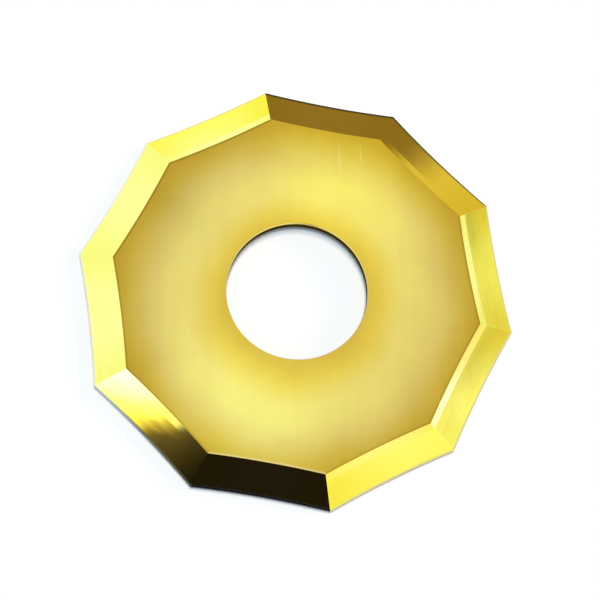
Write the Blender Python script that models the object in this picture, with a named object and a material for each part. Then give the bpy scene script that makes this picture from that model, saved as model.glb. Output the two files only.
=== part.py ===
"""Decagonal rotary blade for a driven rotary cutting head.

One piece of tool steel with a gold titanium nitride coating: a thin disc with a plain bore,
whose rim is ground to ten hollow sides that meet in ten piercing tips. The bevel is ground
from the upper face only, so the cutting edge lies in the plane of the flat back.

The form follows from the grinding. A wheel stands upright beside the disc and sweeps one
side at a time, and it widens upwards, so one pass gives a side its hollow outline, its bevel
with the slightly flatter shoulder below the face, and the honed strip along the edge. Two
neighbouring passes leave a tip between them and the sharp line that runs from it up to the
face. The blade is therefore lofted through rings: the round ones of the bore, and for each
height of the rim the outline that the wheel leaves there.

Units are metres. The origin is on the bore's axis in the plane of the back, with +Z up
through the upper face and one tip on +Y.
"""

import math

import bmesh
import bpy

MM = 0.001

# Blade
SIDE_COUNT = 10
TIP_DIAMETER = 25.0 * MM          # across two opposite tips
THICKNESS = 0.6 * MM
BORE_DIAMETER = 8.0 * MM
BORE_CHAMFER = 0.05 * MM          # breaks both rims of the bore

# Ground rim, measured inwards from the cutting edge at the middle of a side
WHEEL_RADIUS = 61.0 * MM          # radius of the grinding wheel where it sweeps the edge
BEVEL_WIDTH = 1.83 * MM           # plan width from the cutting edge to the upper face
SHOULDER_WIDTH = 0.36 * MM        # the part of that width that the shoulder takes, below the face
SHOULDER_ANGLE = math.radians(15.5)  # slope of the shoulder above the back
HONE_WIDTH = 0.10 * MM            # plan width of the steeper strip along the cutting edge
HONE_ANGLE = math.radians(35.0)   # slope of that strip above the back
EDGE_LAND = 0.012 * MM            # height that is left standing at the cutting edge

# Fineness of the curved faces
SIDE_STEPS = 20                   # flats along one hollow side, and on as much of the bore
SHARP_ANGLE = math.radians(6.0)   # edges between faces that turn more than this stay sharp

GOLD_COATING = (0.78, 0.56, 0.16, 1.0)
COATING_ROUGHNESS = 0.25


def clear_scene():
    """Remove every object of the open scene."""
    for old in list(bpy.data.objects):
        bpy.data.objects.remove(old, do_unlink=True)


def coating_material():
    """Gold titanium nitride over ground steel."""
    material = bpy.data.materials.new("gold_coating")
    material.use_nodes = True
    shader = material.node_tree.nodes["Principled BSDF"]
    shader.inputs["Base Color"].default_value = GOLD_COATING
    shader.inputs["Metallic"].default_value = 1.0
    shader.inputs["Roughness"].default_value = COATING_ROUGHNESS
    return material


def wheel_distance():
    """Distance between the blade's axis and the wheel's, so that two passes meet at a tip.

    A tip and the two axes are the corners of a triangle. Seen from the blade's axis, the tip
    lies half a pitch to the side of the wheel, and the wheel's radius ends at the tip.
    """
    half_pitch = math.pi / SIDE_COUNT
    tip_ahead = TIP_DIAMETER / 2.0 * math.cos(half_pitch)
    tip_aside = TIP_DIAMETER / 2.0 * math.sin(half_pitch)
    return tip_ahead + math.sqrt(WHEEL_RADIUS**2 - tip_aside**2)


def ground_radius(bearing, depth):
    """Radius of the blade on a bearing from the middle of a side, where the wheel cuts deeper.

    The wheel is a circle about a point ahead, grown by the depth that it reaches in past the
    cutting edge, and the blade ends where the bearing's line first meets that circle.
    """
    distance = wheel_distance()
    centre_ahead = distance * math.cos(bearing)
    centre_aside = distance * math.sin(bearing)
    return centre_ahead - math.sqrt((WHEEL_RADIUS + depth)**2 - centre_aside**2)


def ring(bm, height, radius_on):
    """Corners of a ring at one height, counted from the tip on +Y, by its radius on each bearing."""
    pitch = math.tau / SIDE_COUNT
    corners = []
    for side in range(SIDE_COUNT):
        for step in range(SIDE_STEPS):
            bearing = pitch * (step / SIDE_STEPS - 0.5)
            radius = radius_on(bearing)
            angle = math.pi / 2.0 + pitch * (side + 0.5) + bearing
            point = (radius * math.cos(angle), radius * math.sin(angle), height)
            corners.append(bm.verts.new(point))
    return corners


def loft(bm, rings):
    """Skin neighbouring rings, and the last one to the first, with one quad for each flat."""
    for ring_a, ring_b in zip(rings, rings[1:] + rings[:1]):
        following_a = ring_a[1:] + ring_a[:1]
        following_b = ring_b[1:] + ring_b[:1]
        for quad in zip(ring_a, following_a, following_b, ring_b):
            bm.faces.new(quad)


def bore_ring(bm, height, widening):
    """Round ring of the bore, widened by so much at its rims."""
    return ring(bm, height, lambda bearing: BORE_DIAMETER / 2.0 + widening)


def rim_ring(bm, height, depth):
    """Ten-sided ring of the ground rim, so far in from the cutting edge."""
    return ring(bm, height, lambda bearing: ground_radius(bearing, depth))


def blade_mesh():
    """Loft the blade round its whole section: back, edge, bevel, shoulder, upper face and bore."""
    hone_top = EDGE_LAND + HONE_WIDTH * math.tan(HONE_ANGLE)
    shoulder_foot = THICKNESS - SHOULDER_WIDTH * math.tan(SHOULDER_ANGLE)
    bm = bmesh.new()
    rings = [
        bore_ring(bm, 0.0, BORE_CHAMFER),
        rim_ring(bm, 0.0, 0.0),
        rim_ring(bm, EDGE_LAND, 0.0),
        rim_ring(bm, hone_top, HONE_WIDTH),
        rim_ring(bm, shoulder_foot, BEVEL_WIDTH - SHOULDER_WIDTH),
        rim_ring(bm, THICKNESS, BEVEL_WIDTH),
        bore_ring(bm, THICKNESS, BORE_CHAMFER),
        bore_ring(bm, THICKNESS - BORE_CHAMFER, 0.0),
        bore_ring(bm, BORE_CHAMFER, 0.0),
    ]
    loft(bm, rings)
    bmesh.ops.recalc_face_normals(bm, faces=bm.faces)
    mesh = bpy.data.meshes.new("blade")
    bm.to_mesh(mesh)
    bm.free()
    mesh.shade_smooth()
    mesh.set_sharp_from_angle(angle=SHARP_ANGLE)
    return mesh


def build_blade():
    """The whole blade, with its coating."""
    blade = bpy.data.objects.new("blade", blade_mesh())
    blade.data.materials.append(coating_material())
    bpy.context.scene.collection.objects.link(blade)
    return blade


clear_scene()
build_blade()
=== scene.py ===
# %% [markdown]
# # A decagonal rotary blade
# The blade is one thin disc of tool steel with a gold coating. A rotary cutting head clamps it by its
# bore and rolls it through cloth or sheet. This file dresses the measured solid of that blade: it makes
# a finer surface with the same form, gives each ground face its own finish and sets up a small studio.
# The cells run from top to bottom, and most of them print what they made.

# %% Load the frame
import math

import bpy
import numpy as np
from mathutils import Matrix, Vector


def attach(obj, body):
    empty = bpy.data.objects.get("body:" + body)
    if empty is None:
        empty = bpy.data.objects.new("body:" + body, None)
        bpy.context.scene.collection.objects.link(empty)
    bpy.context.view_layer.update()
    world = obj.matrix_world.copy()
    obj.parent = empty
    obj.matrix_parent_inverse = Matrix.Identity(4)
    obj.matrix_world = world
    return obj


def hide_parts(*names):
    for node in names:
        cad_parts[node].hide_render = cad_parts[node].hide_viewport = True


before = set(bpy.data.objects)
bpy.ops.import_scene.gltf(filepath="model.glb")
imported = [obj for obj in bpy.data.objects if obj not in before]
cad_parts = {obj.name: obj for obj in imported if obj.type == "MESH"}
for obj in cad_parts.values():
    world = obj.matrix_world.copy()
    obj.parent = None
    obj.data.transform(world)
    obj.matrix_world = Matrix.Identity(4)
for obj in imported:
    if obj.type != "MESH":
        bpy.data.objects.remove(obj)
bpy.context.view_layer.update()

# %% [markdown]
# ## Read the sizes off the solid
# The solid already holds every size of the real blade, so nothing is typed in twice. Its points lie on
# a few rings: the bore, the cutting edge, the top of the honed strip, the foot of the shoulder and the
# start of the flat face. Sorting them by height and by distance from the axis gives each ring back.

# %% Sizes of the blade
MM = 0.001
SIDE_COUNT = 10
HALF_PITCH = math.pi / SIDE_COUNT

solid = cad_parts["blade"]
corners = np.empty(len(solid.data.vertices) * 3)
solid.data.vertices.foreach_get("co", corners)
corners = corners.reshape(-1, 3)
reach = np.hypot(corners[:, 0], corners[:, 1])
level = corners[:, 2]

thickness = level.max()
tip_radius = reach.max()
bore_radius = reach.min()
outer = reach > 0.6 * tip_radius
on_face = outer & (level > 0.99 * thickness)
on_edge = outer & (level < 0.001 * MM)
edge_radius = reach[on_edge].min()
face_radius = reach[on_face].min()
bevel_width = edge_radius - face_radius
edge_land = level[outer & (level > 0.001 * MM)].min()
hone_top = level[outer & (level > 0.04 * MM) & (level < 0.5 * thickness)].min()
shoulder_foot = level[outer & (level > 0.5 * thickness) & (level < 0.95 * thickness)].min()
hone_width = edge_radius - reach[outer & (np.abs(level - hone_top) < 0.001 * MM)].min()
shoulder_width = reach[outer & (np.abs(level - shoulder_foot) < 0.001 * MM)].min() - face_radius
bore_chamfer = thickness - level[reach < bore_radius + 0.01 * MM].max()
print("tips %.2f mm, bore %.2f mm, thickness %.2f mm" % (
    2000 * tip_radius, 2000 * bore_radius, 1000 * thickness))
print("bevel %.3f mm, honed strip %.3f mm wide and %.3f mm high, land %.3f mm, chamfer %.3f mm" % (
    1000 * bevel_width, 1000 * hone_width, 1000 * hone_top, 1000 * edge_land, 1000 * bore_chamfer))
print("shoulder %.3f mm wide, from %.3f mm up" % (1000 * shoulder_width, 1000 * shoulder_foot))

# %% [markdown]
# ## The grinding wheel
# On the real blade a wheel stands upright beside the disc and sweeps one side at a time, so every side
# is hollow by the wheel's own radius. The side's two tips and its middle lie on that circle, and
# three points give the radius. In polar form about the blade's axis, the circle is one line of numpy.

# %% Outline left by the wheel
half_chord = tip_radius * math.sin(HALF_PITCH)
hollow = tip_radius * math.cos(HALF_PITCH) - edge_radius
wheel_radius = (half_chord**2 + hollow**2) / (2.0 * hollow)
wheel_distance = edge_radius + wheel_radius
TIP_SOFTNESS = 0.012 * MM
print("wheel radius %.1f mm, its axis %.1f mm from the blade's" % (
    1000 * wheel_radius, 1000 * wheel_distance))


def pass_radius(bearing, depth):
    """Radius that one pass leaves on a bearing from the middle of its side.

    The wheel's circle, grown by the depth it cuts past the edge, seen from the blade's axis: the part
    of the wheel's distance along the bearing, less the half chord of the circle on that line.
    """
    ahead = wheel_distance * np.cos(bearing)
    aside = wheel_distance * np.sin(bearing)
    return ahead - np.sqrt((wheel_radius + depth)**2 - aside**2)


def rim_radius(bearing, depth):
    """Radius of the rim where two neighbouring passes meet, with the line between them a little soft.

    The smaller of the two radii counts. Near their meeting both are blended, and the blend takes off
    a quarter of the softness at most.
    """
    own = pass_radius(bearing, depth)
    neighbour = pass_radius(2.0 * HALF_PITCH - np.abs(bearing), depth)
    blend = np.clip(0.5 + 0.5 * (neighbour - own) / TIP_SOFTNESS, 0.0, 1.0)
    return neighbour * (1.0 - blend) + own * blend - TIP_SOFTNESS * blend * (1.0 - blend)


# %% [markdown]
# ## The section
# Cut through the middle of a side, the blade is a long low wedge: flat back, a land of a few
# thousandths at the edge, the honed strip, the bevel, a shoulder where the second pass of the wheel
# ran a little flatter, the face and the wall of the bore. Ground corners are never quite sharp, so
# each corner of the section gets a short curve. Small turns in a mirror finish show as fine lines.

# %% Section of the rim and of the bore
RIDGE_REACH = 0.010 * MM
SHOULDER_REACH = 0.015 * MM
HONE_REACH = 0.006 * MM
EDGE_REACH = 0.004 * MM
BORE_REACH = 0.012 * MM
CURVE_STEPS = 6
SUPPORT_REACH = 1.25


def turned(previous, corner, following, reach):
    """Points of the short curve that turns one corner, with a supporting point before and after it.

    A quadratic curve from a point on the line in to a point on the line out, with the corner
    as its handle: (1 - t)^2 start + 2 t (1 - t) corner + t^2 end.
    """
    inward = (previous - corner) / np.linalg.norm(previous - corner)
    onward = (following - corner) / np.linalg.norm(following - corner)
    t = np.linspace(0.0, 1.0, CURVE_STEPS + 1)[:, None]
    start = corner + inward * reach
    end = corner + onward * reach
    curve = (1.0 - t)**2 * start + 2.0 * t * (1.0 - t) * corner + t**2 * end
    before = corner + inward * reach * SUPPORT_REACH
    after = corner + onward * reach * SUPPORT_REACH
    return np.vstack([before, curve, after])


rim_corners = np.array([
    (1.0 * MM, 0.0),
    (0.0, 0.0),
    (0.0, edge_land),
    (hone_width, hone_top),
    (bevel_width - shoulder_width, shoulder_foot),
    (bevel_width, thickness),
    (bevel_width + 1.0 * MM, thickness),
])
bore_corners = np.array([
    (1.0 * MM, thickness),
    (bore_chamfer, thickness),
    (0.0, thickness - bore_chamfer),
    (0.0, bore_chamfer),
    (bore_chamfer, 0.0),
    (1.0 * MM, 0.0),
])
main_slope = math.atan2(shoulder_foot - hone_top, bevel_width - shoulder_width - hone_width)
shoulder_slope = math.atan2(thickness - shoulder_foot, shoulder_width)
print("bevel at %.1f degrees, shoulder at %.1f" % (math.degrees(main_slope), math.degrees(shoulder_slope)))

# %% Rows of the surface
BEVEL_ROWS = 9
SHOULDER_ROWS = 3
FLAT_ROWS = 14
WALL_ROWS = 4
row_share = []
row_depth = []
row_widening = []
row_height = []
row_finish = []


def add_rows(share, depth, widening, height, finish):
    """Append rows of the section. Share 0 lies on the rim, share 1 on the bore, and the flats between.

    Depth is how far the rim lies past the cutting edge, and widening how far the bore's wall lies past
    its radius. Finish names the ground face between these rows and the next.
    """
    values = np.broadcast_arrays(share, depth, widening, height)
    for rows_so_far, value in zip((row_share, row_depth, row_widening, row_height), values):
        rows_so_far.append(np.ravel(value))
    row_finish.extend([finish] * values[0].size)


def add_rim_rows(section_points, finish):
    """Append rows that lie on the ground rim, from points (depth, height)."""
    add_rows(0.0, section_points[:, 0], 0.0, section_points[:, 1], finish)


def add_bore_rows(section_points, finish):
    """Append rows that lie on the bore, from points (widening, height)."""
    add_rows(1.0, 0.0, section_points[:, 0], section_points[:, 1], finish)


def between(start, end, count):
    """Points inside a straight stretch, without its two ends: start + (end - start) t."""
    t = np.linspace(0.0, 1.0, count + 2)[1:-1, None]
    return start + (end - start) * t


edge_lower = turned(rim_corners[0], rim_corners[1], rim_corners[2], EDGE_REACH)
edge_upper = turned(rim_corners[1], rim_corners[2], rim_corners[3], EDGE_REACH)
hone_turn = turned(rim_corners[2], rim_corners[3], rim_corners[4], HONE_REACH)
shoulder_turn = turned(rim_corners[3], rim_corners[4], rim_corners[5], SHOULDER_REACH)
ridge_turn = turned(rim_corners[4], rim_corners[5], rim_corners[6], RIDGE_REACH)
bore_turns = [
    turned(bore_corners[i - 1], bore_corners[i], bore_corners[i + 1], BORE_REACH) for i in range(1, 5)
]

add_rim_rows(edge_lower, "edge")
add_rim_rows(edge_upper[:-1], "edge")
add_rim_rows(edge_upper[-1:], "hone")
add_rim_rows(between(edge_upper[-1], hone_turn[0], 3), "hone")
add_rim_rows(hone_turn[:-1], "hone")
add_rim_rows(hone_turn[-1:], "bevel")
add_rim_rows(between(hone_turn[-1], shoulder_turn[0], BEVEL_ROWS), "bevel")
add_rim_rows(shoulder_turn, "bevel")
add_rim_rows(between(shoulder_turn[-1], ridge_turn[0], SHOULDER_ROWS), "bevel")
add_rim_rows(ridge_turn[:1], "bevel")
add_rim_rows(ridge_turn[1:], "face")
flat = np.linspace(0.0, 1.0, FLAT_ROWS + 2)[1:-1]
add_rows(flat, ridge_turn[-1, 0], bore_turns[0][0, 0], thickness, "face")
add_bore_rows(bore_turns[0][:-1], "face")
add_bore_rows(bore_turns[0][-1:], "chamfer")
add_bore_rows(bore_turns[1][:-1], "chamfer")
add_bore_rows(bore_turns[1][-1:], "wall")
add_bore_rows(between(bore_turns[1][-1], bore_turns[2][0], WALL_ROWS), "wall")
add_bore_rows(bore_turns[2][:-1], "wall")
add_bore_rows(bore_turns[2][-1:], "chamfer")
add_bore_rows(bore_turns[3][:-1], "chamfer")
add_bore_rows(bore_turns[3][-1:], "back")
add_rows(1.0 - flat, edge_lower[0, 0], bore_turns[3][-1, 0], 0.0, "back")
row_share, row_depth, row_widening, row_height = (
    np.concatenate(rows_so_far)[:, None] for rows_so_far in (row_share, row_depth, row_widening, row_height))
print("rows round the section", len(row_share))

# %% [markdown]
# ## The surface
# Every point is a bearing carried round the section: its radius is the rim's or the bore's, or a share
# of both on the flats. The columns of points crowd towards the tips, where a sharp line has to stay a line,
# and spread out along the calm middle of a side. The grid closes on itself both ways.

# %% Grid of points
COLUMNS_PER_SIDE = 72
CROWDING = 5.0
steps = np.linspace(-1.0, 1.0, COLUMNS_PER_SIDE + 1)
crowded = np.sinh(CROWDING * (1.0 - np.abs(steps))) / math.sinh(CROWDING)
side_bearings = HALF_PITCH * np.sign(steps) * (1.0 - crowded)
side_middles = math.pi / 2.0 + 2.0 * HALF_PITCH * (np.arange(SIDE_COUNT) + 0.5)
bearing = np.tile(side_bearings[:-1], SIDE_COUNT)
angle = np.repeat(side_middles, COLUMNS_PER_SIDE) + bearing

rim = rim_radius(bearing[None, :], row_depth)
bore = bore_radius + row_widening
radius = rim * (1.0 - row_share) + bore * row_share
points = np.stack([
    radius * np.cos(angle),
    radius * np.sin(angle),
    np.broadcast_to(row_height, radius.shape),
], axis=-1)
rows, columns = radius.shape
print("grid %d by %d, %d triangles" % (rows, columns, 2 * rows * columns))

# %% Faces of the grid
FINISHES = ["face", "bevel", "hone", "edge", "chamfer", "wall", "back"]
row = np.arange(rows)[:, None]
column = np.arange(columns)[None, :]
next_row = (row + 1) % rows
next_column = (column + 1) % columns
quads = np.stack([
    row * columns + column,
    row * columns + next_column,
    next_row * columns + next_column,
    next_row * columns + column,
], axis=-1).reshape(-1, 4)

blade_mesh = bpy.data.meshes.new("blade_surface")
blade_mesh.vertices.add(rows * columns)
blade_mesh.vertices.foreach_set("co", points.astype(np.float32).ravel())
blade_mesh.loops.add(quads.size)
blade_mesh.loops.foreach_set("vertex_index", quads.ravel().astype(np.int32))
blade_mesh.polygons.add(len(quads))
blade_mesh.polygons.foreach_set("loop_start", np.arange(0, quads.size, 4, dtype=np.int32))
finish_index = np.array([FINISHES.index(name) for name in row_finish])
blade_mesh.polygons.foreach_set("material_index", np.repeat(finish_index, columns).astype(np.int32))
blade_mesh.update(calc_edges=True)
blade_mesh.validate()


def enclosed_volume(mesh):
    """Volume inside a closed mesh, positive where its normals point out.

    Each triangle and the origin span a pyramid, whose signed volume is a sixth of the triple
    product of its three corners.
    """
    mesh.calc_loop_triangles()
    places = np.empty(len(mesh.vertices) * 3)
    mesh.vertices.foreach_get("co", places)
    triples = np.empty(len(mesh.loop_triangles) * 3, dtype=np.int32)
    mesh.loop_triangles.foreach_get("vertices", triples)
    first, second, third = places.reshape(-1, 3)[triples.reshape(-1, 3)].transpose(1, 0, 2)
    return np.sum(first * np.cross(second, third)) / 6.0


print("volume %.2f cubic mm, and %.2f in the solid" % (
    enclosed_volume(blade_mesh) / MM**3, enclosed_volume(solid.data) / MM**3))

# %% [markdown]
# ## A map that follows the grinding
# Grinding lines run along a side, and turning lines run round the bore. So the surface carries its own
# map, in millimetres: one way along the side, with ten millimetres set aside for each side so that no
# two sides share a pattern, and the other way across the section from the cutting edge.

# %% Map of the surface
SIDE_ROOM = 10.0
MAP_START = -4.0
MAP_END = 96.0
along_side = side_bearings * tip_radius / MM
side_starts = np.repeat(SIDE_ROOM * np.arange(SIDE_COUNT), COLUMNS_PER_SIDE)
along_start = np.tile(along_side[:-1], SIDE_COUNT) + side_starts
along_end = np.tile(along_side[1:], SIDE_COUNT) + side_starts
middle_points = points[:, COLUMNS_PER_SIDE // 2, :]
middle_reach = np.hypot(middle_points[:, 0], middle_points[:, 1])
section = np.stack([middle_reach, middle_points[:, 2]], axis=-1)
section_steps = np.linalg.norm(np.roll(section, -1, axis=0) - section, axis=1)
across = np.concatenate([[0.0], np.cumsum(section_steps)]) / MM
uv = np.empty((rows, columns, 4, 2))
uv[:, :, 0, 0] = along_start
uv[:, :, 1, 0] = along_end
uv[:, :, 2, 0] = along_end
uv[:, :, 3, 0] = along_start
uv[:, :, 0, 1] = across[:-1, None]
uv[:, :, 1, 1] = across[:-1, None]
uv[:, :, 2, 1] = across[1:, None]
uv[:, :, 3, 1] = across[1:, None]
uv_layer = blade_mesh.uv_layers.new(name="grinding_map")
uv_layer.data.foreach_set("uv", uv.astype(np.float32).ravel())
blade_mesh.shade_smooth()
ridge_across = across[row_finish.index("face")]
bevel_across = across[row_finish.index("bevel")]
print("across the section %.2f mm, with the ridge at %.2f mm" % (across[-1], ridge_across))

blade = bpy.data.objects.new("blade_surface", blade_mesh)
bpy.context.scene.collection.objects.link(blade)

# %% [markdown]
# ## Node helpers
# The finishes are built from nodes. These short functions add a node, feed a socket with a plain value
# or with another node's output, and wrap the few kinds of node that every finish here uses.

# %% Helpers for nodes


def add_node(tree, kind, **settings):
    """Put a node of that kind in the tree, with the named settings on it."""
    node = tree.nodes.new(kind)
    for name, value in settings.items():
        setattr(node, name, value)
    return node


def feed(tree, socket, value):
    """Link the socket to another node's output, or set it to a plain value."""
    if isinstance(value, bpy.types.NodeSocket):
        tree.links.new(value, socket)
    else:
        socket.default_value = value


def maths(tree, operation, *values):
    """One Math node on the values, and its result."""
    node = add_node(tree, "ShaderNodeMath", operation=operation)
    for socket, value in zip(node.inputs, values):
        feed(tree, socket, value)
    return node.outputs[0]


def vector_maths(tree, operation, *values):
    """One Vector Math node on the values, and the result that its operation has."""
    node = add_node(tree, "ShaderNodeVectorMath", operation=operation)
    for socket, value in zip(node.inputs, values):
        feed(tree, socket, value)
    return node.outputs["Value" if operation in ("DOT_PRODUCT", "LENGTH") else "Vector"]


def mixed(tree, factor, first, second):
    """Colour between two colours: the first at factor 0 and the second at factor 1."""
    node = add_node(tree, "ShaderNodeMix", data_type="RGBA")
    feed(tree, node.inputs[0], factor)
    feed(tree, node.inputs[6], first)
    feed(tree, node.inputs[7], second)
    return node.outputs[2]


def remapped(tree, value, low, high, to_low, to_high, smooth=False):
    """Value carried from the range low to high onto another range, and held at its ends."""
    node = add_node(tree, "ShaderNodeMapRange", interpolation_type="SMOOTHSTEP" if smooth else "LINEAR")
    for socket, number in zip(node.inputs, (value, low, high, to_low, to_high)):
        feed(tree, socket, number)
    return node.outputs[0]


def placed(tree, vector, scale, shift=(0.0, 0.0, 0.0)):
    """Coordinates stretched and shifted by a Mapping node."""
    node = add_node(tree, "ShaderNodeMapping", vector_type="POINT")
    feed(tree, node.inputs["Vector"], vector)
    node.inputs["Location"].default_value = shift
    node.inputs["Scale"].default_value = scale
    return node.outputs[0]


def part_of(tree, vector, axis):
    """One coordinate of a vector."""
    node = add_node(tree, "ShaderNodeSeparateXYZ")
    feed(tree, node.inputs[0], vector)
    return node.outputs[axis]


def noise(tree, vector, scale, detail=2.0, roughness=0.5):
    """Smooth noise from about 0 to 1 at so many cells for each unit of the coordinates."""
    node = add_node(tree, "ShaderNodeTexNoise")
    feed(tree, node.inputs["Vector"], vector)
    node.inputs["Scale"].default_value = scale
    node.inputs["Detail"].default_value = detail
    node.inputs["Roughness"].default_value = roughness
    return node.outputs["Fac"]


def bell_curve(tree, distance):
    """1 at distance 0, falling off both ways: e to the power of minus half the distance squared."""
    squared = maths(tree, "POWER", distance, 2.0)
    return maths(tree, "EXPONENT", maths(tree, "MULTIPLY", squared, -0.5))


def new_group(name, inputs, outputs):
    """Empty shader node group with its sockets, as the tree, the input node and the output node."""
    tree = bpy.data.node_groups.new(name, "ShaderNodeTree")
    for socket_name, socket_type in inputs:
        tree.interface.new_socket(name=socket_name, in_out="INPUT", socket_type="NodeSocket" + socket_type)
    for socket_name, socket_type in outputs:
        tree.interface.new_socket(name=socket_name, in_out="OUTPUT", socket_type="NodeSocket" + socket_type)
    return tree, add_node(tree, "NodeGroupInput"), add_node(tree, "NodeGroupOutput")


def use_group(tree, group, **values):
    """Place a group in a tree and feed its inputs, whose names here have _ for a space."""
    node = add_node(tree, "ShaderNodeGroup", node_tree=group)
    for name, value in values.items():
        feed(tree, node.inputs[name.replace("_", " ")], value)
    return node


def new_material(name):
    """Material with an empty Principled shader, as the material, its tree and the shader."""
    material = bpy.data.materials.new(name)
    material.use_nodes = True
    tree = material.node_tree
    return material, tree, tree.nodes["Principled BSDF"]


# %% [markdown]
# ## Straight grain
# A sheet of steel is ground flat before the disc is cut from it, and that leaves fine straight lines
# across the whole face, with a deeper stroke here and there. Noise stretched a hundred times one way
# gives such lines. The same grain serves the face and the back, so it is a group.

# %% Group for straight grain
grain_group, grain_in, grain_out = new_group(
    "straight_grain",
    [("Position", "Vector"), ("Turn", "Float")],
    [("Fine", "Float"), ("Broad", "Float"), ("Streaks", "Float"), ("Grain Place", "Vector")],
)
turned_place = add_node(grain_group, "ShaderNodeVectorRotate", rotation_type="Z_AXIS")
feed(grain_group, turned_place.inputs["Vector"], grain_in.outputs["Position"])
feed(grain_group, turned_place.inputs["Angle"], grain_in.outputs["Turn"])
grain_place = turned_place.outputs[0]
fine_lines = noise(grain_group, placed(grain_group, grain_place, (14.0, 0.10, 1.0)), 1.0, 3.0, 0.6)
broad_lines = noise(grain_group, placed(grain_group, grain_place, (1.6, 0.10, 1.0)), 1.0, 2.0, 0.5)
streak_place = placed(grain_group, grain_place, (2.4, 0.20, 1.0), shift=(31.0, 7.0, 0.0))
streak_lines = noise(grain_group, streak_place, 1.0, 1.0)
streaks = remapped(grain_group, streak_lines, 0.76, 0.86, 0.0, 1.0, smooth=True)
feed(grain_group, grain_out.inputs["Fine"], fine_lines)
feed(grain_group, grain_out.inputs["Broad"], broad_lines)
feed(grain_group, grain_out.inputs["Streaks"], streaks)
feed(grain_group, grain_out.inputs["Grain Place"], grain_place)
print("group", grain_group.name)

# %% [markdown]
# ## Grinding lines
# The wheel's grit draws lines along the side while it sweeps. On a mirror bevel they are far too
# fine to see one by one, but they bend the reflection a little in long streaks. The group reads the
# surface's own map, stretched along the side. It also gives waves, which are broader, and scuffs,
# which are coarse strokes, strongest on the two bevels at the right and fainter elsewhere.

# %% Group for grinding lines
lines_group, lines_in, lines_out = new_group(
    "grinding_lines",
    [("Map", "Vector")],
    [("Lines", "Float"), ("Waves", "Float"), ("Scuffs", "Float")],
)
lines = noise(lines_group, placed(lines_group, lines_in.outputs["Map"], (0.35, 16.0, 1.0)), 1.0, 2.0, 0.6)
waves = noise(lines_group, placed(lines_group, lines_in.outputs["Map"], (0.45, 1.6, 1.0)), 1.0, 1.0, 0.5)
feed(lines_group, lines_out.inputs["Lines"], lines)
feed(lines_group, lines_out.inputs["Waves"], waves)
scuff_place = placed(lines_group, lines_in.outputs["Map"], (0.55, 4.5, 1.0))
scuff_lines = noise(lines_group, scuff_place, 1.0, 3.0, 0.6)
scuffs = remapped(lines_group, scuff_lines, 0.50, 0.68, 0.0, 1.0, smooth=True)
feed(lines_group, lines_out.inputs["Scuffs"], scuffs)
print("group", lines_group.name)

# %% [markdown]
# ## Soft patches
# The photograph shows large soft patches of paler and deeper gold. They may lie in the coating or come
# from the room, and one picture can't tell, so here they are a tint of the gold. Each is a bell curve
# round one place, and the group takes the place and the width, so one group draws them all. The
# bevels use it on their own map, squeezed so that a patch becomes a long oval.

# %% Group for a patch
patch_group, patch_in, patch_out = new_group(
    "soft_patch",
    [("Position", "Vector"), ("Place", "Vector"), ("Width", "Float")],
    [("Mask", "Float")],
)
from_place = vector_maths(patch_group, "SUBTRACT", patch_in.outputs["Position"], patch_in.outputs["Place"])
patch_length = vector_maths(patch_group, "LENGTH", from_place)
patch_reach = maths(patch_group, "DIVIDE", patch_length, patch_in.outputs["Width"])
feed(patch_group, patch_out.inputs["Mask"], bell_curve(patch_group, patch_reach))
print("group", patch_group.name)

# %% [markdown]
# ## The satin face
# The face is coated steel with a satin finish. In the photograph its gold is deepest next to the bore
# and towards the bevels, and palest in a wide ring between them. Distance from a point near the axis
# picks the tone, and noise lets the ring wander. A thin painted line lies along the ridge: painted
# shade where its depth is positive, and a painted highlight on the side nearest to the camera, where
# it is negative. Three fine scratches lie in the upper part. The tones were set until averages of the
# render and of the photograph agreed.

# %% Material of the face
GRAIN_TURN = math.radians(7.2)
FACE_ROUGHNESS = 0.30
# The ridge line is painted shade, and a painted highlight where its depth is negative.
RIDGE_LINE_PLACE = 0.055
RIDGE_LINE_WIDTH = 0.035
GLINT = 0.35
RIDGE_SHADE_AND_GLINT_DEPTHS = [
    (-4.0, 0.42), (14.0, 0.42), (16.0, 0.26), (34.5, 0.26), (36.0, -0.30),
    (44.0, -0.30), (46.0, 0.22), (74.0, 0.30), (76.0, 0.0), (96.0, 0.0),
]
RING_CENTRE = (-0.05, -0.40, 0.0)
FACE_START = 4.0
FACE_END = 10.4
STROKE_GOLD = (0.86, 0.76, 0.22, 1.0)
GLINT_GOLD = (0.92, 0.86, 0.55, 1.0)
FACE_TONES = [
    (4.0, (0.625, 0.405, 0.049)),
    (4.6, (0.684, 0.465, 0.053)),
    (5.2, (0.715, 0.516, 0.079)),
    (6.2, (0.733, 0.572, 0.130)),
    (7.2, (0.707, 0.555, 0.123)),
    (8.2, (0.635, 0.464, 0.108)),
    (9.2, (0.559, 0.372, 0.053)),
    (9.8, (0.508, 0.324, 0.031)),
    (10.4, (0.474, 0.280, 0.022)),
]
SCRATCHES = [(2.64, 7.80, 0.60), (3.90, 8.25, 0.35), (2.05, 6.20, 0.30)]
SCRATCH_WIDTH = 0.045
PATCHES = [
    ((-3.95, -7.24, 0.6), 3.5, (1.21, 1.36, 1.42)),
    ((4.20, 7.09, 0.6), 3.5, (1.24, 1.31, 0.92)),
    ((-6.26, 6.02, 0.6), 1.0, (0.86, 0.86, 0.74)),
]


def add_ramp(tree, value, low, high, tones):
    """Colour by a value between low and high, from a list of places and colours."""
    node = add_node(tree, "ShaderNodeValToRGB")
    ramp = node.color_ramp
    while len(ramp.elements) < len(tones):
        ramp.elements.new(0.5)
    for element, (place, colour) in zip(ramp.elements, tones):
        element.position = (place - low) / (high - low)
        element.color = (*colour, 1.0)
    feed(tree, node.inputs[0], remapped(tree, value, low, high, 0.0, 1.0))
    return node.outputs[0]


def by_side(tree, surface_map, tones):
    """Colour by the place along the map, from the first side's start to the last one's end."""
    return add_ramp(tree, part_of(tree, surface_map, "X"), MAP_START, MAP_END, tones)


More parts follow.
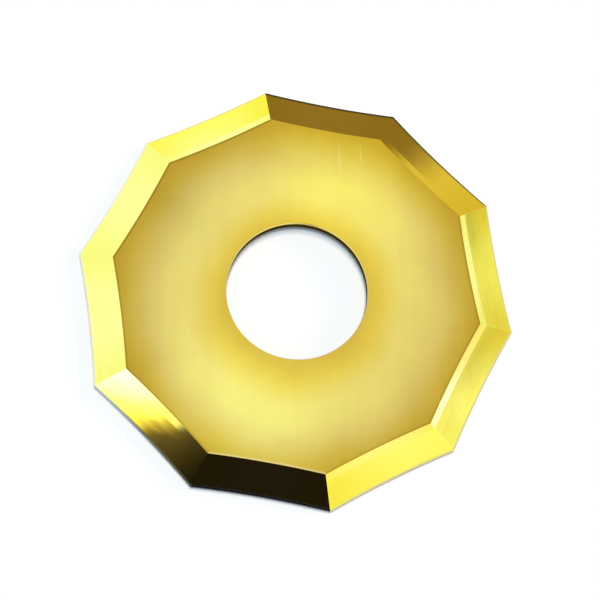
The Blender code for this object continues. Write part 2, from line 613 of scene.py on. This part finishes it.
def millimetres(tree):
    """Object coordinates in millimetres."""
    place = add_node(tree, "ShaderNodeTexCoord").outputs["Object"]
    scaled = add_node(tree, "ShaderNodeVectorMath", operation="SCALE")
    feed(tree, scaled.inputs[0], place)
    scaled.inputs["Scale"].default_value = 1.0 / MM
    return scaled.outputs[0]


def satin_material(name, tones, patches=(), scratches=()):
    """Satin coated steel: tone by radius, soft patches, straight grain in colour, gloss and relief."""
    material, tree, shader = new_material(name)
    place = millimetres(tree)
    from_centre = vector_maths(tree, "SUBTRACT", place, RING_CENTRE)
    spread = vector_maths(tree, "MULTIPLY", from_centre, (1.0, 1.0, 0.0))
    radial = vector_maths(tree, "LENGTH", spread)
    mottle = noise(tree, place, 0.22, 1.0, 0.5)
    wandered = maths(tree, "ADD", radial, remapped(tree, mottle, 0.3, 0.7, -0.25, 0.25))
    tone = add_ramp(tree, wandered, FACE_START, FACE_END, tones)
    for patch_place, patch_width, patch_gain in patches:
        patch = use_group(tree, patch_group, Position=place, Place=patch_place, Width=patch_width)
        gain = mixed(tree, patch.outputs["Mask"], (1.0, 1.0, 1.0, 1.0), (*patch_gain, 1.0))
        tone = vector_maths(tree, "MULTIPLY", tone, gain)
    grain = use_group(tree, grain_group, Position=place, Turn=GRAIN_TURN)
    cloud = noise(tree, placed(tree, place, (0.45, 0.45, 1.0), shift=(5.3, 2.1, 0.0)), 1.0, 2.0, 0.5)
    shade = remapped(tree, cloud, 0.35, 0.65, 0.98, 1.02)
    shade = maths(tree, "MULTIPLY", shade, remapped(tree, grain.outputs["Broad"], 0.3, 0.7, 0.985, 1.015))
    shade = maths(tree, "MULTIPLY", shade, remapped(tree, grain.outputs["Fine"], 0.3, 0.7, 0.99, 1.01))
    surface_map = add_node(tree, "ShaderNodeUVMap", uv_map="grinding_map").outputs[0]
    # Painted shade along the ridge, turned into a painted highlight where the depth is negative.
    past_ridge = maths(tree, "SUBTRACT", part_of(tree, surface_map, "Y"), ridge_across + RIDGE_LINE_PLACE)
    line = bell_curve(tree, maths(tree, "DIVIDE", past_ridge, RIDGE_LINE_WIDTH))
    depths = [(start, (depth + GLINT,) * 3) for start, depth in RIDGE_SHADE_AND_GLINT_DEPTHS]
    depth = maths(tree, "SUBTRACT", by_side(tree, surface_map, depths), GLINT)
    ridge_shade = maths(tree, "SUBTRACT", 1.0, maths(tree, "MULTIPLY", line, maths(tree, "MAXIMUM", depth, 0.0)))
    shaded = vector_maths(tree, "MULTIPLY", vector_maths(tree, "MULTIPLY", tone, shade), ridge_shade)
    glint_depth = maths(tree, "MAXIMUM", maths(tree, "MULTIPLY", depth, -1.0), 0.0)
    glint = maths(tree, "MULTIPLY", line, glint_depth)
    shaded = mixed(tree, glint, shaded, GLINT_GOLD)
    strokes = maths(tree, "MULTIPLY", grain.outputs["Streaks"], 0.22)
    for aside, ahead, half_length in scratches:
        slim = (half_length / SCRATCH_WIDTH, 1.0, 0.0)
        stretched = placed(tree, grain.outputs["Grain Place"], slim)
        middle = (aside * slim[0], ahead, 0.0)
        scratch = use_group(tree, patch_group, Position=stretched, Place=middle, Width=half_length)
        strokes = maths(tree, "MULTIPLY_ADD", scratch.outputs["Mask"], 0.30, strokes)
    streaked = mixed(tree, strokes, shaded, STROKE_GOLD)
    feed(tree, shader.inputs["Base Color"], streaked)
    shader.inputs["Metallic"].default_value = 1.0
    rough = remapped(tree, grain.outputs["Fine"], 0.3, 0.7, FACE_ROUGHNESS - 0.03, FACE_ROUGHNESS + 0.03)
    feed(tree, shader.inputs["Roughness"], rough)
    bump = add_node(tree, "ShaderNodeBump")
    bump.inputs["Strength"].default_value = 0.25
    bump.inputs["Distance"].default_value = 0.002 * MM
    feed(tree, bump.inputs["Height"], grain.outputs["Fine"])
    feed(tree, shader.inputs["Normal"], bump.outputs[0])
    return material


face_material = satin_material("satin_face", FACE_TONES, PATCHES, SCRATCHES)
BACK_TONES = [(FACE_START, (0.70, 0.54, 0.10)), (FACE_END, (0.66, 0.50, 0.09))]
back_material = satin_material("satin_back", BACK_TONES)
print("face roughness", FACE_ROUGHNESS)

# %% [markdown]
# ## The mirror bevels
# The bevels are the brightest part of the blade: they are ground with a fine wheel before coating,
# so each one mirrors a small patch of the room. The gold is stronger here than on the satin, and only a
# trace of roughness and relief is left, which bends the picture of the room along the grinding.
# The honed strip, the land, the bore's chamfer, a dark line at the foot of the two upper bevels and
# eight soft patches take their tone from the place along the map, because the photograph shows them
# differ from side to side. The tones of the strip, the land and the chamfer are painted reflection and
# shade, the dark line at the foot is painted shade, and the patches are in part painted reflection.
# Painted in, they are the same from every angle, so these marks are kept thin or faint.

# %% Material of the bevels
BEVEL_GOLD = (0.91, 0.76, 0.088)
MIDDLE_GOLD = (0.97, 0.82, 0.128)
BEVEL_ROUGHNESS = 0.02
WAVE_HEIGHT = 0.0007 * MM
# Tones of the honed strip and the land by side: painted reflection and shade.
STRIP_REFLECTION_AND_SHADE_TONES = [
    (-4.0, (0.82, 0.76, 0.28)), (5.0, (0.82, 0.76, 0.28)), (6.0, (0.92, 0.90, 0.58)),
    (24.0, (0.90, 0.86, 0.54)), (27.0, (0.70, 0.66, 0.38)), (30.0, (0.17, 0.145, 0.07)),
    (34.0, (0.065, 0.058, 0.042)), (36.0, (0.13, 0.115, 0.09)), (44.0, (0.17, 0.15, 0.115)),
    (46.0, (0.80, 0.71, 0.27)), (74.0, (0.80, 0.71, 0.27)), (76.0, (0.26, 0.19, 0.06)),
    (79.0, (0.07, 0.05, 0.017)), (84.0, (0.035, 0.028, 0.010)), (96.0, (0.022, 0.018, 0.007)),
]
SCUFF_DEPTHS = [
    (-4.0, 0.01), (54.0, 0.01), (57.0, 0.07), (66.0, 0.08), (74.0, 0.06), (76.0, 0.04), (96.0, 0.05),
]
BEVEL_PATCHES = [
    (63.2, 0.15, 1.6, 0.45, (1.20, 1.10, 1.00)),
    (61.8, 1.05, 1.6, 0.32, (0.92, 0.93, 0.84)),
    (59.3, 0.15, 0.8, 0.30, (1.02, 0.96, 0.72)),
    (57.0, 0.55, 0.7, 0.60, (0.97, 0.94, 0.86)),
    (66.3, 0.60, 1.3, 0.70, (0.95, 0.88, 0.86)),
    (70.3, 0.20, 1.3, 0.30, (1.06, 1.05, 0.98)),
    (73.6, 0.20, 0.9, 0.35, (1.10, 0.97, 0.70)),
    (72.4, 1.15, 0.8, 0.25, (0.88, 0.91, 0.80)),
]
# A dark line of painted shade at the foot of the two upper bevels.
FOOT_PLACE = 0.020
FOOT_WIDTH = 0.030
FOOT_SHADE_DEPTHS = [(-4.0, 0.0), (75.0, 0.0), (78.0, 0.10), (83.0, 0.20), (86.0, 0.65), (96.0, 0.65)]


def mirror_material(name, gold, roughness, middle_gold=None, tones=None):
    """Mirror coated steel: faint lines in gold and gloss, and long low waves along the side.

    With a second gold, the tone passes to it from the tips towards the middle of each side, soft
    patches lie on some of them and a dark line of painted shade runs along the foot. With a list of
    tones, the place along the map picks one, as painted reflection that differs from side to side.
    """
    material, tree, shader = new_material(name)
    surface_map = add_node(tree, "ShaderNodeUVMap", uv_map="grinding_map").outputs[0]
    grinding = use_group(tree, lines_group, Map=surface_map)
    tone = gold
    if middle_gold:
        from_middle = maths(tree, "PINGPONG", part_of(tree, surface_map, "X"), SIDE_ROOM / 2.0)
        tone = mixed(tree, remapped(tree, from_middle, 1.0, 3.9, 1.0, 0.0, smooth=True), (*gold, 1.0),
                     (*middle_gold, 1.0))
        for along, above, half_length, half_height, patch_gain in BEVEL_PATCHES:
            squeeze = half_length / half_height
            squeezed = placed(tree, surface_map, (1.0, squeeze, 0.0))
            middle = (along, (bevel_across + above) * squeeze, 0.0)
            patch = use_group(tree, patch_group, Position=squeezed, Place=middle, Width=half_length)
            gain = mixed(tree, patch.outputs["Mask"], (1.0, 1.0, 1.0, 1.0), (*patch_gain, 1.0))
            tone = vector_maths(tree, "MULTIPLY", tone, gain)
    if tones:
        tone = by_side(tree, surface_map, tones)
    shade = remapped(tree, grinding.outputs["Lines"], 0.3, 0.7, 0.975, 1.025)
    if middle_gold:
        scuff_depth = by_side(tree, surface_map, [(start, (depth,) * 3) for start, depth in SCUFF_DEPTHS])
        scuffed = maths(tree, "MULTIPLY", scuff_depth, grinding.outputs["Scuffs"])
        shade = maths(tree, "MULTIPLY", shade, maths(tree, "SUBTRACT", 1.0, scuffed))
        # Painted shade along the foot of the bevel, by side.
        past_foot = maths(tree, "SUBTRACT", part_of(tree, surface_map, "Y"), bevel_across + FOOT_PLACE)
        line = bell_curve(tree, maths(tree, "DIVIDE", past_foot, FOOT_WIDTH))
        foot_shade_depth = by_side(tree, surface_map, [(start, (depth,) * 3) for start, depth in FOOT_SHADE_DEPTHS])
        foot_shade = maths(tree, "MULTIPLY", line, foot_shade_depth)
        shade = maths(tree, "MULTIPLY", shade, maths(tree, "SUBTRACT", 1.0, foot_shade))
    tinted = vector_maths(tree, "MULTIPLY", tone, shade)
    feed(tree, shader.inputs["Base Color"], tinted)
    shader.inputs["Metallic"].default_value = 1.0
    rough = remapped(tree, grinding.outputs["Lines"], 0.3, 0.7, roughness * 0.8, roughness * 1.3)
    feed(tree, shader.inputs["Roughness"], rough)
    height = maths(tree, "MULTIPLY_ADD", grinding.outputs["Lines"], 0.04, grinding.outputs["Waves"])
    bump = add_node(tree, "ShaderNodeBump")
    bump.inputs["Strength"].default_value = 1.0
    bump.inputs["Distance"].default_value = WAVE_HEIGHT
    feed(tree, bump.inputs["Height"], height)
    feed(tree, shader.inputs["Normal"], bump.outputs[0])
    return material


bevel_material = mirror_material("mirror_bevel", BEVEL_GOLD, BEVEL_ROUGHNESS, MIDDLE_GOLD)
HONE_ROUGHNESS = 0.12
EDGE_ROUGHNESS = 0.20
CHAMFER_ROUGHNESS = 0.25
hone_material = mirror_material("honed_strip", None, HONE_ROUGHNESS, tones=STRIP_REFLECTION_AND_SHADE_TONES)
edge_material = mirror_material("edge_land", None, EDGE_ROUGHNESS, tones=STRIP_REFLECTION_AND_SHADE_TONES)
# Tones of the bore's chamfer by side: painted reflection.
CHAMFER_REFLECTION_TONES = [
    (-4.0, (1.0, 0.86, 0.32)), (6.0, (1.0, 0.86, 0.32)), (20.0, (0.93, 0.86, 0.40)),
    (30.0, (0.86, 0.78, 0.36)), (40.0, (0.66, 0.52, 0.24)), (60.0, (0.68, 0.58, 0.32)),
    (72.0, (0.90, 0.76, 0.28)), (96.0, (1.0, 0.88, 0.32)),
]
chamfer_material = mirror_material("bore_chamfer", None, CHAMFER_ROUGHNESS, tones=CHAMFER_REFLECTION_TONES)
print("bevel roughness", BEVEL_ROUGHNESS)

# %% [markdown]
# ## The wall of the bore
# In the photograph the wall of the bore is a dark brown band. Height above the back picks its tone,
# from nearly black at the back up to a brown gold at the face, and fine lines from turning run round it.

# %% Material of the bore
WALL_TONES = [
    (0.00, (0.030, 0.030, 0.012)),
    (0.25, (0.070, 0.055, 0.008)),
    (0.45, (0.210, 0.155, 0.018)),
    (0.60, (0.420, 0.300, 0.040)),
]
wall_material, wall_tree, wall_shader = new_material("bore_wall")
wall_map = add_node(wall_tree, "ShaderNodeUVMap", uv_map="grinding_map").outputs[0]
wall_lines = noise(wall_tree, placed(wall_tree, wall_map, (0.5, 30.0, 1.0)), 1.0, 2.0, 0.6)
wall_height = part_of(wall_tree, millimetres(wall_tree), "Z")
# Tone by height above the back, darker towards the back.
wall_tone_by_height = add_ramp(wall_tree, wall_height, 0.0, 0.6, WALL_TONES)
wall_shade = remapped(wall_tree, wall_lines, 0.3, 0.7, 0.85, 1.15)
feed(wall_tree, wall_shader.inputs["Base Color"], vector_maths(wall_tree, "MULTIPLY", wall_tone_by_height, wall_shade))
wall_shader.inputs["Metallic"].default_value = 1.0
wall_shader.inputs["Specular Tint"].default_value = (0.35, 0.28, 0.15, 1.0)
feed(wall_tree, wall_shader.inputs["Roughness"], remapped(wall_tree, wall_lines, 0.3, 0.7, 0.38, 0.5))

for material in (face_material, bevel_material, hone_material, edge_material, chamfer_material,
                 wall_material, back_material):
    blade_mesh.materials.append(material)
print("finishes", [material.name for material in blade_mesh.materials])

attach(blade, "root")
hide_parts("blade")

# %% [markdown]
# ## The camera
# The photograph looks down at the lying blade from about 73 degrees, with one tip near the top of the
# picture. The place, the aim and the way up were worked out from the blade's ten outer and ten
# inner corners in the picture.

# %% Camera
CAMERA_PLACE = Vector((-9.181, -22.053, 76.005)) * MM
CAMERA_AIM = Vector((0.144, -0.408, 0.0)) * MM
PICTURE_UP = Vector((0.1205, 0.9508, 0.2856))
LENS = 84.14

camera_data = bpy.data.cameras.new("camera")
camera_data.lens = LENS
camera_data.sensor_width = 36.0
camera_data.clip_start = 1.0 * MM
camera = bpy.data.objects.new("camera", camera_data)
bpy.context.scene.collection.objects.link(camera)
backward = (CAMERA_PLACE - CAMERA_AIM).normalized()
rightward = PICTURE_UP.cross(backward).normalized()
upward = backward.cross(rightward)
turn = Matrix((rightward, upward, backward)).transposed().to_4x4()
camera.matrix_world = Matrix.Translation(CAMERA_PLACE) @ turn
bpy.context.scene.camera = camera
print("camera %.1f mm from its aim" % (1000 * (CAMERA_PLACE - CAMERA_AIM).length))

# %% [markdown]
# ## The table
# The table is plain and pale. It takes the soft shadow, and it lies a little below the blade, because
# that drop sets how wide the shadow beside the edge and in the bore gets. Its colour alone makes the
# background nearly white. A trace of its own light for the camera and for mirrors brings it up to
# white without one more lamp on the blade.

# %% Table
TABLE_HALF = 300.0 * MM
TABLE_DROP = 0.28 * MM
corner_signs = np.array([(-1.0, -1.0), (1.0, -1.0), (1.0, 1.0), (-1.0, 1.0)])
table_points = np.column_stack([corner_signs * TABLE_HALF, np.full(4, -TABLE_DROP)])
table_mesh = bpy.data.meshes.new("table")
table_mesh.from_pydata(table_points.tolist(), [], [(0, 1, 2, 3)])
table = bpy.data.objects.new("table", table_mesh)
bpy.context.scene.collection.objects.link(table)

table_material, table_tree, table_shader = new_material("pale_table")
table_shader.inputs["Roughness"].default_value = 0.9
table_shader.inputs["Specular IOR Level"].default_value = 0.0
table_grain = noise(table_tree, millimetres(table_tree), 0.5, 3.0, 0.5)
table_tone = mixed(table_tree, table_grain, (0.945, 0.95, 0.95, 1.0), (0.955, 0.96, 0.96, 1.0))
feed(table_tree, table_shader.inputs["Base Color"], table_tone)
feed(table_tree, table_shader.inputs["Emission Color"], (0.75, 0.90, 1.0, 1.0))


def seen_directly(tree):
    """1 for rays from the camera, in mirrors and through glass, and 0 for the light of the room."""
    path = add_node(tree, "ShaderNodeLightPath")
    seen = maths(tree, "MAXIMUM", path.outputs["Is Camera Ray"], path.outputs["Is Glossy Ray"])
    return maths(tree, "MAXIMUM", seen, path.outputs["Is Transmission Ray"]), path


TABLE_GLOW = 0.07
table_glow = maths(table_tree, "MULTIPLY", seen_directly(table_tree)[0], TABLE_GLOW)
feed(table_tree, table_shader.inputs["Emission Strength"], table_glow)
table_mesh.materials.append(table_material)
print("table %.0f mm square" % (2000 * TABLE_HALF))

# %% [markdown]
# ## The studio
# Polished metal shows the room, so the room is part of the finish. Only mirrors and glass see this one: the
# camera sees plain white, and matt surfaces get one plain level. Round the blade stand a pale tent, a
# daylight window on the left, walls and a screen on the right, a brown board at the back, a curtain, a
# lamp with its hood at the lower left, and the dark shape of the camera on its tripod, which the bevel
# nearest to it mirrors. Their places and tones were fitted to what the bevels show in the photograph. That
# makes parts of the room brighter than white, most of all the lamp. The dark shape is hardly larger
# than that bevel needs, or else the whole face would turn dark from behind. Each is a card, a patch of
# the sky between two bearings and two heights in degrees, and its mask is a smooth step at each limit.

# %% Group for one card
card_group, card_in, card_out = new_group(
    "studio_card",
    [("Along", "Float"), ("Low", "Float"), ("High", "Float"), ("Soft", "Float")],
    [("Mask", "Float")],
)
above_low = maths(card_group, "SUBTRACT", card_in.outputs["Along"], card_in.outputs["Low"])
below_high = maths(card_group, "SUBTRACT", card_in.outputs["High"], card_in.outputs["Along"])
nearer_limit = maths(card_group, "MINIMUM", above_low, below_high)
limit_step = add_node(card_group, "ShaderNodeMapRange", interpolation_type="SMOOTHSTEP")
feed(card_group, limit_step.inputs["Value"], nearer_limit)
feed(card_group, limit_step.inputs["From Min"], maths(card_group, "MULTIPLY", card_in.outputs["Soft"], -1.0))
feed(card_group, limit_step.inputs["From Max"], card_in.outputs["Soft"])
feed(card_group, card_out.inputs["Mask"], limit_step.outputs[0])


def direction_to(bearing_degrees, height_degrees):
    """Unit vector towards a bearing, counted from +X towards +Y, and a height above the table."""
    bearing_angle = math.radians(bearing_degrees)
    height_angle = math.radians(height_degrees)
    flat_part = math.cos(height_angle)
    ahead = flat_part * math.cos(bearing_angle)
    aside = flat_part * math.sin(bearing_angle)
    return Vector((ahead, aside, math.sin(height_angle)))


def hang_card(tree, bearing, height, bearing_limits, height_limits):
    """Mask of a card. Each limits entry is low, high, lean and soft, all in degrees.

    The bearing limits lean with every degree of height past 45, and the height limits with every
    degree of bearing past 0, so a card can stand askew. Soft is the half width of its blurred edge.
    """
    low, high, lean, soft = bearing_limits
    straight = maths(tree, "SUBTRACT", bearing, maths(tree, "MULTIPLY_ADD", height, lean, -45.0 * lean))
    side_mask = use_group(tree, card_group, Along=straight, Low=low, High=high, Soft=soft).outputs[0]
    low, high, lean, soft = height_limits
    level = maths(tree, "SUBTRACT", height, maths(tree, "MULTIPLY", bearing, lean))
    level_mask = use_group(tree, card_group, Along=level, Low=low, High=high, Soft=soft).outputs[0]
    return maths(tree, "MULTIPLY", side_mask, level_mask)


# %% World
world = bpy.data.worlds.new("studio")
bpy.context.scene.world = world
world.use_nodes = True
world_tree = world.node_tree
background = world_tree.nodes["Background"]
look = add_node(world_tree, "ShaderNodeTexCoord").outputs["Generated"]
split = add_node(world_tree, "ShaderNodeSeparateXYZ")
feed(world_tree, split.inputs[0], look)
look_height = split.outputs["Z"]
height_angle = maths(world_tree, "DEGREES", maths(world_tree, "ARCSINE", look_height))
bearing_turn = maths(world_tree, "ARCTAN2", split.outputs["Y"], split.outputs["X"])
bearing_angle = maths(world_tree, "DEGREES", bearing_turn)

TENT_LEVELS = [
    (0.00, (0.95, 0.97, 1.0)),
    (0.12, (0.95, 0.97, 1.0)),
    (0.34, (0.9, 0.92, 0.95)),
    (0.50, (1.1, 1.21, 1.06)),
    (0.56, (1.13, 1.24, 0.9)),
    (0.64, (1.08, 1.13, 2.9)),
    (0.72, (1.01, 1.28, 1.44)),
    (0.79, (1.12, 1.1, 1.8)),
    (0.83, (1.21, 1.61, 1.89)),
    (0.88, (1.21, 1.16, 1.62)),
    (0.94, (1.12, 1.23, 1.16)),
    (1.00, (1.12, 1.12, 1.12)),
]
CARDS = [
    ("daylight window", (91.09, 176.0, 0.0, 3.01), (34.455, 66.0, 0.0, 0.974), (1.057, 1.29, 2.565)),
    ("pale wall", (-9.22, 60.0, 0.0, 0.66), (10.0, 47.484, -0.327, 0.902), (0.897, 0.968, 0.818)),
    ("shaded wall", (-9.49, 4.0, 0.0, 0.88), (10.0, 46.349, -0.327, 1.238), (0.729, 0.686, 0.492)),
    ("grey screen", (21.33, 27.0, 0.0, 1.02), (38.74, 41.2, 0.0, 0.346), (0.616, 0.627, 0.489)),
    ("warm wall", (33.0, 60.0, 0.0, 5.0), (10.0, 46.0, 0.0, 2.0), (0.761, 0.623, 0.298)),
    ("warm skirt", (80.0, 94.36, 0.0, 1.42), (10.0, 36.327, 0.0, 1.343), (1.05, 1.161, 0.543)),
    ("brown board", (50.05, 89.0, 0.3, 0.50), (10.0, 42.0, 0.0, 1.0), (0.287, 0.193, 0.125)),
    ("warm curtain", (-66.0, -48.16, 0.0, 1.91), (20.0, 60.317, 0.0, 0.679), (1.06, 1.083, 0.746)),
    ("blue gap", (-16.0, -7.74, 0.0, 0.71), (50.4, 54.0, 0.0, 0.6), (1.133, 1.422, 5.158)),
    ("lamp rim", (-164.5, -158.0, -0.15, 0.3), (50.0, 68.0, 0.0, 2.0), (1.69, 1.091, 0.302)),
    ("hot lamp", (-178.0, -161.93, -0.15, 0.93), (50.0, 68.0, 0.0, 2.0), (1.447, 4.233, 3.617)),
    ("lamp heart", (-178.0, -162.6, -0.15, 0.63), (60.573, 68.0, 0.0, 0.561), (1.597, 1.728, 10.22)),
    ("lamp skirt", (-155.25, -148.0, -0.62, 1.25), (63.6, 70.0, 0.0, 0.6), (1.36, 1.34, 1.54)),
    ("lens hood", (-161.36, -150.0, -0.15, 0.46), (50.0, 70.0, 0.0, 2.0), (0.156, 0.121, 0.127)),
    ("hood top", (-153.38, -146.0, -0.62, 0.16), (62.796, 70.0, 0.0, 0.401), (0.085, 0.068, 0.10)),
    ("camera", (-154.98, -84.0, -0.49, 1.04), (56.5, 74.0, 0.0, 2.0), (0.015, 0.012, 0.022)),
    ("tripod", (-117.0, -95.0, 0.0, 3.0), (19.0, 39.0, 0.0, 2.0), (0.015, 0.012, 0.022)),
]
room = add_ramp(world_tree, look_height, 0.0, 1.0, TENT_LEVELS)
for _, bearing_limits, height_limits, card_colour in CARDS:
    card_mask = hang_card(world_tree, bearing_angle, height_angle, bearing_limits, height_limits)
    room = mixed(world_tree, card_mask, room, (*card_colour, 1.0))

ROOM_LEVEL = (0.066, 0.133, 0.221)
seen, light_path = seen_directly(world_tree)
mirror_ray = light_path.outputs["Is Glossy Ray"]
glass_ray = light_path.outputs["Is Transmission Ray"]
mirrored = maths(world_tree, "MAXIMUM", mirror_ray, glass_ray)
white_seen = mixed(world_tree, mirrored, (1.0, 1.0, 1.0, 1.0), room)
world_colour = mixed(world_tree, seen, (*ROOM_LEVEL, 1.0), white_seen)
feed(world_tree, background.inputs["Color"], world_colour)
print("cards", [card[0] for card in CARDS])

# %% [markdown]
# ## Three soft lamps
# A broad lamp nearly overhead, a steep one behind the blade and a low warm one on its right draw the
# faint cool shadow along the left and lower edges and under the upper wall of the bore. Mirrors don't
# show them, because the cards above already stand for the lights of the room.

# %% Lamps
LAMPS = [
    ("top_lamp", 90.0, 86.0, 18.0, 1.84, (0.92, 0.96, 1.0)),
    ("side_lamp", 74.0, 69.0, 12.0, 1.06, (1.0, 0.82, 0.54)),
    ("low_lamp", 8.0, 14.0, 22.0, 1.60, (1.0, 0.60, 0.20)),
]
for lamp_name, lamp_bearing, lamp_height, lamp_angle, lamp_energy, lamp_colour in LAMPS:
    lamp_data = bpy.data.lights.new(lamp_name, "SUN")
    lamp_data.energy = lamp_energy
    lamp_data.angle = math.radians(lamp_angle)
    lamp_data.color = lamp_colour
    lamp = bpy.data.objects.new(lamp_name, lamp_data)
    bpy.context.scene.collection.objects.link(lamp)
    lamp_turn = direction_to(lamp_bearing, lamp_height).to_track_quat("Z", "Y")
    lamp.matrix_world = lamp_turn.to_matrix().to_4x4()
    lamp.visible_glossy = False
    print("%s at bearing %.0f, height %.0f degrees" % (lamp_name, lamp_bearing, lamp_height))

# %% [markdown]
# ## View
# The plain view transform shows a colour as the material has it.

# %% View settings
bpy.context.scene.view_settings.view_transform = "Standard"
